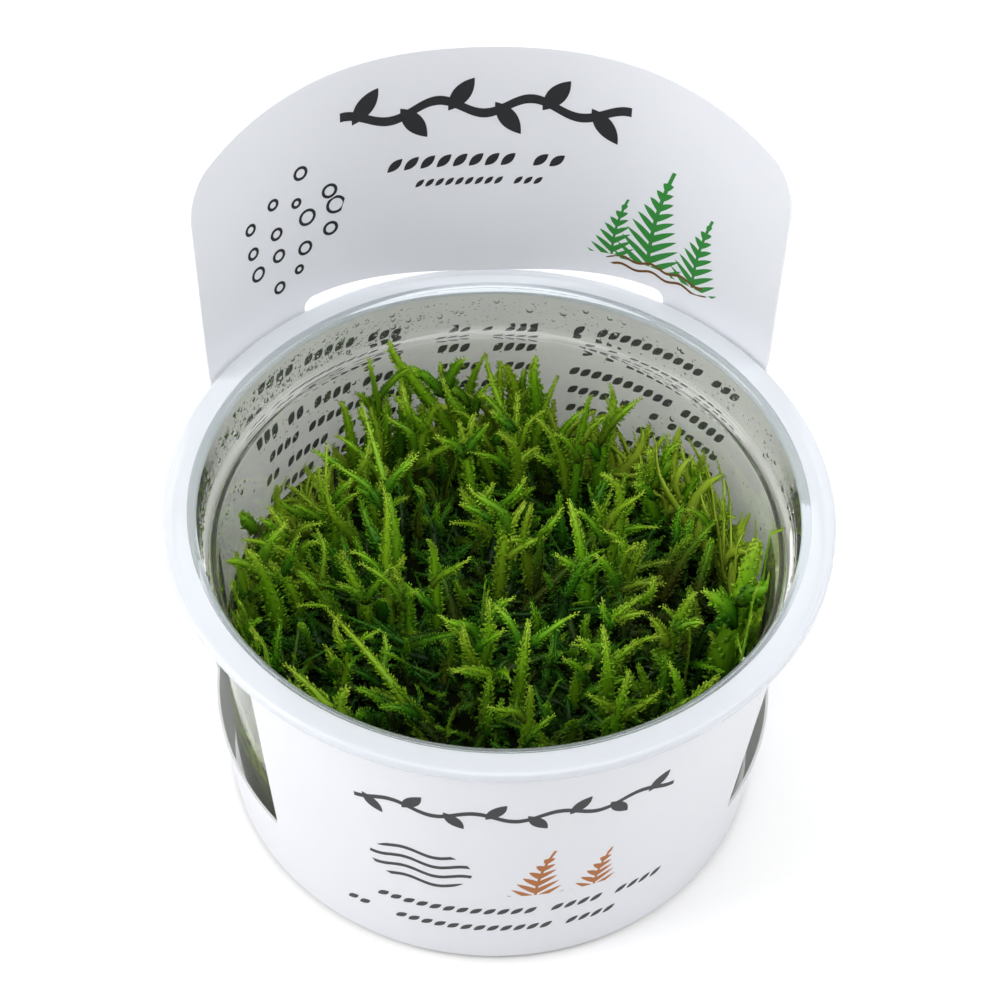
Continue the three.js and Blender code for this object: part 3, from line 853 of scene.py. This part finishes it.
def living_moss():
    """Damp leaves: near black at the root, deep green up the shoot, yellow-green at the
    growing tip, with each shoot and leaf a little different, a patch of browner growth at
    the right, and light passing through. The near black at the root is partly painted shade
    for the depths of the cushion, and the ribbons carry painted light, a lighter rib and a
    darker back."""
    material, tree, leaf = finish("living_moss", {"Roughness": 0.38, "Specular IOR Level": 0.28})
    growth = added(tree, "Attribute", attribute_name="growth").outputs["Vector"]
    fresh, tint, chance = parts(growth)
    age = added(tree, "ValToRGB", {"Fac": fresh})
    for _ in range(3):
        age.color_ramp.elements.new(0.5)
    for stop, (place, colour) in zip(age.color_ramp.elements, [
        (0.0, (0.004, 0.009, 0.002, 1)),
        (0.28, (0.010, 0.048, 0.003, 1)),
        (0.50, (0.038, 0.190, 0.005, 1)),
        (0.78, (0.195, 0.480, 0.009, 1)),
        (1.0, (0.460, 0.680, 0.050, 1)),
    ]):
        stop.position = place
        stop.color = colour
    yellow = times(power(tint, 2.2), 0.5)
    green = mixed(yellow, age.outputs["Color"], (0.34, 0.44, 0.02, 1))
    where = added(tree, "TexCoord").outputs["Object"]
    apart = added(tree, "VectorMath", {0: where, 1: BROWN_PATCH}, operation="DISTANCE")
    faded = added(tree, "MapRange", {
        "Value": apart.outputs["Value"],
        "From Min": 0.0045, "From Max": 0.0115, "To Min": 0.75, "To Max": 0.0,
    })
    withered = times(faded.outputs["Result"], chance)
    green = mixed(withered, green, (0.075, 0.062, 0.016, 1))
    # Leaves vary in brightness by chance; on the ribbons the same value is painted light, lighter
    # on the rib and darker on the back.
    tone_and_painted_light = calc("MULTIPLY_ADD", chance, 0.62, 0.64)
    lit = added(tree, "VectorMath", {0: green, "Scale": tone_and_painted_light}, operation="SCALE")
    wired(leaf, {"Base Color": lit.outputs["Vector"]})
    let_light_through(tree, leaf, 0.3, lit.outputs["Vector"])
    return material


def on_disc(count, radius, power=0.5, turn=0.0):
    """Places on a disc along a golden-angle spiral: the nth lies at radius (n / count)^power."""
    number = np.arange(count) + 0.5
    reach = radius * (number / count) ** power
    angle = number * GOLDEN_TURN + turn
    return reach * np.cos(angle), reach * np.sin(angle)


def inside_cup(x, y, radius):
    """Draw level places in to a radius."""
    far = np.maximum(np.hypot(x, y) / radius, 1)
    return x / far, y / far


moss_green = living_moss()
dice = np.random.default_rng(7)

# The tall shoots that stand out of the cushion, each with two side shoots: 32 at places of
# their own, and 30 more scattered over the middle and the back. A row is a shoot's root, its
# tip and its width, in millimetres.
TALL_SHOOTS = np.array([
    [-17, 37, 20, -18, 37, 52, 2.2], [-2, 37, 20, -11, 38, 53, 3.2], [0, 38, 20, -5, 39, 49, 2.4],
    [5, 37, 20, 2, 38, 50, 2.4], [2, 32, 20, 1, 33, 43, 1.8], [-21, 18, 20, -24, 25, 52, 2.2],
    [-16, 8, 20, -19, 26, 52, 2.2], [-20, 20, 20, -32, 24, 36, 2.2],
    [-20, 16, 20, -32, 5, 33, 2.4], [-36, 12, 20, -38, 12, 46, 3.2],
    [-32, 12, 20, -33, 12, 49, 2.2], [-27, 17, 20, -29, 17, 45, 2.2],
    [-33, 2, 20, -39, 1, 50, 3.0], [-38, 6, 20, -40, 7, 40, 2.6], [-8, -23, 22, -27, 0, 35, 2.6],
    [-9, 2, 20, -11, 2, 46, 2.0], [-16, -32, 22, -32, -21, 47, 3.4],
    [20, 30, 20, 17, 32, 50, 2.6], [7, 28, 20, 3, 36, 48, 2.2], [15, 29, 20, 8, 31, 44, 2.2],
    [29, 24, 20, 26, 26, 39, 3.4], [36, 13, 20, 36, 14, 44, 2.8], [16, 4, 20, 12, 13, 44, 3.0],
    [18, 18, 22, 22, 16, 34, 2.6], [22, 7, 20, 23, 7, 41, 2.0],
    [35.5, -10, 20, 38.8, -4, 50, 5.6], [3, -24, 20, 3, -24, 45, 2.2],
    [4, -4, 20, -6, -15, 33, 2.6], [22, -23, 20, 33, -21, 43, 2.6],
    [18, -21, 20, 17, -20, 42, 2.2], [31, -6, 20, 32, -6, 34, 2.2],
    [12, -13, 20, 14, -13, 35, 2.2],
]) / MILLIMETRES
MORE_TALL_SHOOTS = 30
BROADENED = 1.55
SUNK = 0.004

count = MORE_TALL_SHOOTS
more_x, more_y = dice.uniform(-0.036, 0.030, count), dice.uniform(-0.012, 0.038, count)
more_x, more_y = inside_cup(more_x, more_y, 0.038)
more_z = dice.uniform(0.036, 0.046, count) + 0.1 * np.maximum(more_y, 0)
more_tip = np.stack([more_x, more_y, more_z], axis=-1)
off = dice.normal(0, 0.0045, (count, 3)) * [1, 1, 0]
more_root = more_tip * [0.9, 0.9, 0] + off + [0, 0, 0.020]
root = np.vstack([TALL_SHOOTS[:, :3] + [0, 0, -SUNK], more_root])
tip = np.vstack([TALL_SHOOTS[:, 3:6], more_tip])
width = np.concatenate([TALL_SHOOTS[:, 6] * BROADENED, dice.uniform(0.0030, 0.0042, count)])
count = len(root)
facing = unit(TO_VIEWER + dice.normal(0, 0.20, (count, 3)))
tall = grow(
    root, tip, width, facing, leaves=150, tint=dice.uniform(0.30, 1.0, count), seed=21, young=0.40)
fork_root = bent(dice.uniform(0.35, 0.7, (count, 2))[..., None], root, tip)
aside = unit(np.cross(tip - root, facing))[:, None] * np.array([1, -1])[:, None]
fork_length = dice.uniform(0.004, 0.010, (count, 2, 1))
fork_tip = fork_root + (0.75 * aside + unit(tip - root)[:, None]) * fork_length
forks = grow(
    fork_root.reshape(-1, 3), fork_tip.reshape(-1, 3), np.repeat(width, 2) * 0.7,
    np.repeat(facing, 2, axis=0), leaves=44, tint=dice.uniform(0.2, 1.0, 2 * count), seed=22,
    young=0.3)
moss_piece("moss_tall_shoots", [tall, forks], moss_green)

# The cushion lies in beds, from the bright standing shoots down to the undergrowth.
ROOTED_WITHIN = 0.0395
HIGH_CROWN = 0.0315
LOW_CROWN = 0.0245
MOUNDS = np.array([
    [-5, 31, 5, 9], [-33, 8, 6, 8], [16, 30, 4, 7], [-24, -20, 3, 9], [36, 8, 4, 7],
]) / MILLIMETRES


def cushion_rise(x, y):
    """How far the cushion swells above its mean: five broad mounds, each a bell curve
    round its middle, plus slow waves. A mound is its place, its height and its spread."""
    rise = sum(h * np.exp(-((x - a) ** 2 + (y - b) ** 2) / (2 * w * w)) for a, b, h, w in MOUNDS)
    waves = np.sin(310 * x + 190 * y) + np.sin(260 * y - 340 * x + 2) + np.sin(520 * x - 90 * y + 4)
    return rise + 0.0013 * waves


def tufts(count, radius, number, seed):
    """Places for shoots on the cushion in tufts: each place on a spiral moves part of the way
    to the nearest tuft's middle. Also the way each leans: its tuft's own way, outwards, and
    chance."""
    dice = np.random.default_rng(seed)
    x, y = on_disc(count, radius, 0.47, seed)
    a, b = on_disc(number, radius * 0.97, 0.5, seed + 1)
    a, b = a + dice.normal(0, 0.0015, number), b + dice.normal(0, 0.0015, number)
    near = np.argmin((x[:, None] - a) ** 2 + (y[:, None] - b) ** 2, axis=1)
    pull = dice.uniform(0.15, 0.6, count)
    x, y = x + pull * (a[near] - x), y + pull * (b[near] - y)
    turn = dice.uniform(0, 2 * np.pi, number)[near]
    lean = np.stack([np.cos(turn), np.sin(turn)], axis=-1) * 0.8 + dice.normal(0, 0.45, (count, 2))
    lean += np.stack([x, y], axis=-1) / radius * 0.6
    return x, y, lean


# A bed's vigour darkens its colour: partly for its age, partly as painted shade for the lower beds.
def bed(name, x, y, lean, crown, scatter, away, depth, facing, turned_by, width, leaves, tint,
        seed, vigour_and_painted_light, young=0.0, lowest=0.0, highest=1.0):
    """Lay a bed of shoots: a tip stands at each place, at the crown's height with some
    scatter, and its root lies away from it against its lean, and some depth down. Without a
    lean each goes its own way. Away, depth, width and tint are ranges to draw from."""
    count = len(x)
    height = np.clip(crown + dice.normal(0, scatter, count), lowest, highest)
    if lean is None:
        turn = dice.uniform(0, 2 * np.pi, count)
        lean = -np.stack([np.cos(turn), np.sin(turn)], axis=-1)
    root_x, root_y = inside_cup(
        *(np.stack([x, y], axis=-1) - lean * dice.uniform(*away, (count, 1))).T, ROOTED_WITHIN)
    roots = np.stack([root_x, root_y, height - dice.uniform(*depth, count)], axis=-1)
    facing = unit(facing + dice.normal(0, turned_by, (count, 3)))
    moss_piece(name, [grow(
        roots, np.stack([x, y, height], axis=-1), dice.uniform(*width, count), facing, leaves,
        dice.uniform(*tint, count), seed, young, vigour_and_painted_light)], moss_green)


# Standing shoots in tufts all over the cushion, broad and brightest at the tip.
x, y, lean = tufts(150, 0.0385, 38, 3)
bed("moss_standing_shoots", x, y, lean, HIGH_CROWN + cushion_rise(x, y), scatter=0.0030,
    away=(0.001, 0.011), depth=(0.012, 0.019), facing=TO_VIEWER, turned_by=0.5,
    width=(0.0024, 0.0045), leaves=130, tint=(0, 0.9), seed=31, vigour_and_painted_light=0.83,
    lowest=0.024, highest=0.0450)

# The canopy between them: shoots that lean further and stay lower, their colour darkened as painted
# shade.
x, y, lean = tufts(330, 0.0395, 60, 4)
bed("moss_canopy", x, y, lean, LOW_CROWN + 0.75 * cushion_rise(x, y), scatter=0.0026,
    away=(0.003, 0.013), depth=(0.006, 0.013), facing=TO_VIEWER, turned_by=0.6,
    width=(0.0024, 0.0040), leaves=80, tint=(0, 0.7), seed=33, vigour_and_painted_light=0.62)

# Older growth below: shorter shoots that lie over each other, darker partly by age and partly as
# painted shade.
x, y, lean = tufts(380, 0.0400, 80, 5)
crown = LOW_CROWN + 0.5 * np.maximum(cushion_rise(x, y), -0.001)
bed("moss_older_growth", x, y, lean, crown, scatter=0.002,
    away=(0.006, 0.014), depth=(0.003, 0.008), facing=np.array([0, -0.3, 0.9]), turned_by=0.5,
    width=(0.0028, 0.0044), leaves=56, tint=(0, 0.5), seed=41, young=0.05, vigour_and_painted_light=0.50)

# Undergrowth: short leafy tips that cover the matted cushion.
x, y = on_disc(490, 0.0395, 0.5, 2.2)
crown = LOW_CROWN + 0.45 * np.maximum(cushion_rise(x, y), 0)
bed("moss_undergrowth", x, y, None, crown, scatter=0.0010,
    away=(0.002, 0.005), depth=(0.002, 0.005), facing=np.array([0, -0.4, 0.9]), turned_by=0.5,
    width=(0.0026, 0.0040), leaves=32, tint=(0, 0.4), seed=43, young=0.15, vigour_and_painted_light=0.50)

# Shoots pressed on the wall all the way round, seen through the plastic. They keep the bright tip
# colour nearly to the root, painted light for the light that the wall keeps from them.
ROOT_RING = 0.0385
PRESSED_RING = 0.0412
RIBBON_RING = 0.0408
count = 330
number = np.arange(count)
angle = number * GOLDEN_TURN
foot = 0.002 + 0.027 * ((number * GOLDEN_SHARE) % 1)
rise = dice.uniform(0.009, 0.018, count)
slip = dice.normal(0, 0.16, count)
moss_piece("moss_at_the_wall", [grow(
    at_turn(angle, ROOT_RING, foot), at_turn(angle + slip, PRESSED_RING, foot + rise),
    dice.uniform(0.0028, 0.0044, count), at_turn(angle, 1, 0), leaves=56,
    tint=dice.uniform(0.4, 1.0, count), seed=51, young=0.95, vigour_and_painted_light=1.05)], moss_green)

# Taller broad ones show above the cushion: some at the middle of the back, more at the
# left and right of the front, and a lower clump at the right.
BACK, FRONT_LEFT, FRONT_RIGHT, RIGHT = 98, 208, 332, 16
at_back, at_front, at_right = 24, 58, 16
count = at_back + at_front + at_right
number = np.arange(count)
middle = np.where(number < at_back, BACK, np.where(number % 2 == 0, FRONT_LEFT, FRONT_RIGHT))
middle[at_back + at_front:] = RIGHT
angle = np.radians(middle + np.where(middle == BACK, 23, 26) * np.sin(number * 2.4))
slip = dice.normal(0, 0.10, count)
high = np.where(
    middle == BACK, dice.uniform(0.039, 0.0505, count), dice.uniform(0.032, 0.0500, count))
high -= np.where(middle == RIGHT, 0.004, 0)
low = dice.uniform(0.018, 0.024, count)
moss_piece("moss_ribbons_at_the_back", [grow(
    at_turn(angle, ROOT_RING, low), at_turn(angle + slip, RIBBON_RING, high),
    dice.uniform(0.0034, 0.0056, count), -at_turn(angle, 1, 0), leaves=130,
    tint=dice.uniform(0.3, 0.9, count), seed=53, young=0.22)], moss_green)

# The matted inside: a dark lumpy cushion of dead stems that the shoots grow out of, near
# black on top, partly as painted shade, and olive low on its side at the wall, as painted
# light. Point (angle, share) climbs the side for the first 0.45 of its share, then runs in
# over the top, with waves of both for its lumps.
MAT_RADIUS = 0.0388
MAT_FOOT = 0.0012
MAT_RISE = 0.0209
MAT_MIDDLE = 0.0225
MAT_LUMPS = 0.0006
PAINTED_LIGHT_BELOW = 0.0200
PAINTED_LIGHT_BEYOND = 0.03
turns, levels = 120, 40
angle = np.arange(turns)[:, None] * 2 * np.pi / turns
share = np.linspace(0, 1, levels)[None]
side_share, top_share = np.minimum(share / 0.45, 1), np.maximum((share - 0.45) / 0.55, 0)
radius = MAT_RADIUS * (1 - top_share ** 1.5)
waves = np.sin(11 * angle + 40 * share) + np.sin(17 * angle - 55 * share + 1)
lumps = MAT_LUMPS * waves * (1 - top_share ** 4)
height = MAT_FOOT + MAT_RISE * side_share + 0.0012 * np.sin(top_share * np.pi)
reach = radius + lumps + 0.0012 * np.exp(-(height - MAT_FOOT) / 0.002)
height = np.broadcast_to(height + lumps * (side_share >= 1), (turns, levels))
cushion = np.vstack([
    at_turn(angle, reach[:, :-1], height[:, :-1]).reshape(-1, 3),
    [[0, 0, MAT_FOOT], [0, 0, MAT_MIDDLE]],
])
quads, low, high = lathe_faces(turns, levels - 1)
cushion_faces = np.vstack([quads[:, [0, 1, 2]], quads[:, [0, 2, 3]], low, high])
cushion_growth = np.tile([0.12, 0.0, 0.4], (len(cushion), 1))
# Two colours for the mat: near black, the dead stems darkened further as painted shade, and olive,
# painted light where the side is seen through the wall.
matted, stems_in_painted_light = (
    finish(name, {"Base Color": colour, "Roughness": 0.95, "Specular IOR Level": 0.05})[0]
    for name, colour in (
        ("dark_mat_and_painted_shade", (0.005, 0.009, 0.002, 1)), ("stems_in_painted_light", (0.075, 0.105, 0.026, 1))))
inside = moss_piece(
    "moss_matted_inside", [(cushion, cushion_faces, cushion_growth)], matted, stems_in_painted_light)
# Low on the side and near the wall the mat takes the olive painted light.
x, y, z = cushion[cushion_faces].mean(axis=1).T
at_wall = (z < PAINTED_LIGHT_BELOW) & (np.hypot(x, y) > PAINTED_LIGHT_BEYOND)
inside.data.polygons.foreach_set("material_index", at_wall.astype(int))

# Droplets
# Clear beads of water that condensed on the inside of the cup's upper band and wall, half
# of them round the back at the left.
BEADS = 1700
IN_BAND = (0.0522, 0.0582)
ON_WALL = (0.040, 0.0498)
LEFT_REAR = (2.4, 0.55)
SAGGING = 1.12


def bead_shapes(middle, outward, radius, flatness, rings=2, steps=7):
    """Domes on the wall: point (a, b) lies at radius r cos(a) round the wall's normal and
    r flatness sin(a) along it, closed by a flat back just inside the wall's face."""
    level = unit(np.cross([0, 0, 1.0], outward))
    rise = np.cross(outward, level)
    lift = np.linspace(0, np.pi / 2, rings, endpoint=False)[None, :, None, None]
    turn = (np.arange(steps) * 2 * np.pi / steps)[:, None]
    spokes = np.cos(turn) * level[:, None, None] + np.sin(turn) * rise[:, None, None] * SAGGING
    flat_part = radius[:, None, None, None] * np.cos(lift) * spokes
    height = radius * flatness
    domed = height[:, None, None, None] * np.sin(lift) * -outward[:, None, None]
    body = (middle[:, None, None] + flat_part + domed).reshape(len(middle), -1, 3)
    ends = np.stack([middle, middle - height[:, None] * outward], axis=1)
    points = np.concatenate([body, ends], axis=1)
    per = rings * steps
    first = np.arange(steps)
    last = per - steps + first
    faces = np.vstack([
        tube_faces(rings, steps),
        np.stack([np.roll(first, -1), first, np.full(steps, per)], axis=-1),
        np.stack([last, np.roll(last, -1), np.full(steps, per + 1)], axis=-1),
    ])
    all_faces = (np.arange(len(middle)) * (per + 2))[:, None, None] + faces
    return points.reshape(-1, 3), all_faces.reshape(-1, 3)


dice = np.random.default_rng(5)
anywhere = dice.uniform(0, 1, BEADS) < 0.5
angle = np.where(anywhere, dice.uniform(0, 2 * np.pi, BEADS), dice.normal(*LEFT_REAR, BEADS))
in_band = dice.uniform(0, 1, BEADS) < 0.8
level = np.where(in_band, dice.uniform(*IN_BAND, BEADS), dice.uniform(*ON_WALL, BEADS))
slope = BASE_RADIUS + WALL_RUN * level / LEDGE_LEVEL
wall = np.where(in_band, BAND_RADIUS - 0.00008, slope - 0.00006)
size = dice.uniform(0.00007, 0.00019, BEADS) + 0.00050 * dice.uniform(0, 1, BEADS) ** 11
bead_points, bead_faces = bead_shapes(
    at_turn(angle, wall, level), at_turn(angle, 1, 0), size, dice.uniform(0.35, 0.6, BEADS))
water, _, _ = finish("condensed_water", {
    "Base Color": (1, 1, 1, 1), "Transmission Weight": 1.0, "IOR": 1.33, "Roughness": 0.0,
})
mesh = meshed("condensed_droplets", bead_points.tolist(), bead_faces.tolist())
droplets = piece("condensed_droplets", mesh, water)

# Floor
# A white table top that reaches far behind the cup.
floor_mesh = meshed(
    "table_top", [(-3, -3, 0), (3, -3, 0), (3, 3, 0), (-3, 3, 0)], [(0, 1, 2, 3)])
table_white, _, _ = finish("table_white", {
    "Base Color": (0.88, 0.88, 0.88, 1), "Roughness": 0.9, "Specular IOR Level": 0.1,
})
floor_mesh.materials.append(table_white)
floor = placed("table_top", floor_mesh)

# Lights
# Large soft panels: the brighter at the left, a weaker one at the right, a low one behind
# the tab, a high one in front, one overhead, and an even white surround.


def soft_panel(name, at, towards, wide, tall, watts):
    """A rectangular area light that looks at a point."""
    light = bpy.data.lights.new(name, "AREA")
    light.shape = "RECTANGLE"
    light.size, light.size_y = wide, tall
    light.energy = watts
    aim = (Vector(towards) - Vector(at)).to_track_quat("-Z", "Y").to_matrix().to_4x4()
    placed(name, light).matrix_world = Matrix.Translation(at) @ aim


soft_panel("left_panel", (-0.75, -0.05, 0.45), (0, 0, 0.05), 0.6, 0.6, 5.8)
soft_panel("right_panel", (0.75, 0.0, 0.45), (0, 0, 0.05), 0.6, 0.6, 3.6)
soft_panel("back_panel", (0.0, 0.85, 0.24), (0, 0, 0.06), 0.8, 0.36, 4.0)
soft_panel("front_panel", (0.0, -0.9, 0.9), (0, 0, 0.05), 0.7, 0.4, 3.6)
soft_panel("top_panel", (0.0, -0.12, 0.9), (0, 0, 0.04), 0.7, 0.7, 3.5)
surround = bpy.data.worlds.new("surround")
surround.use_nodes = True
wired(surround.node_tree.nodes["Background"], {"Color": (1, 1, 1, 1), "Strength": 0.3})
bpy.context.scene.world = surround
bpy.context.scene.view_settings.view_transform = "Standard"
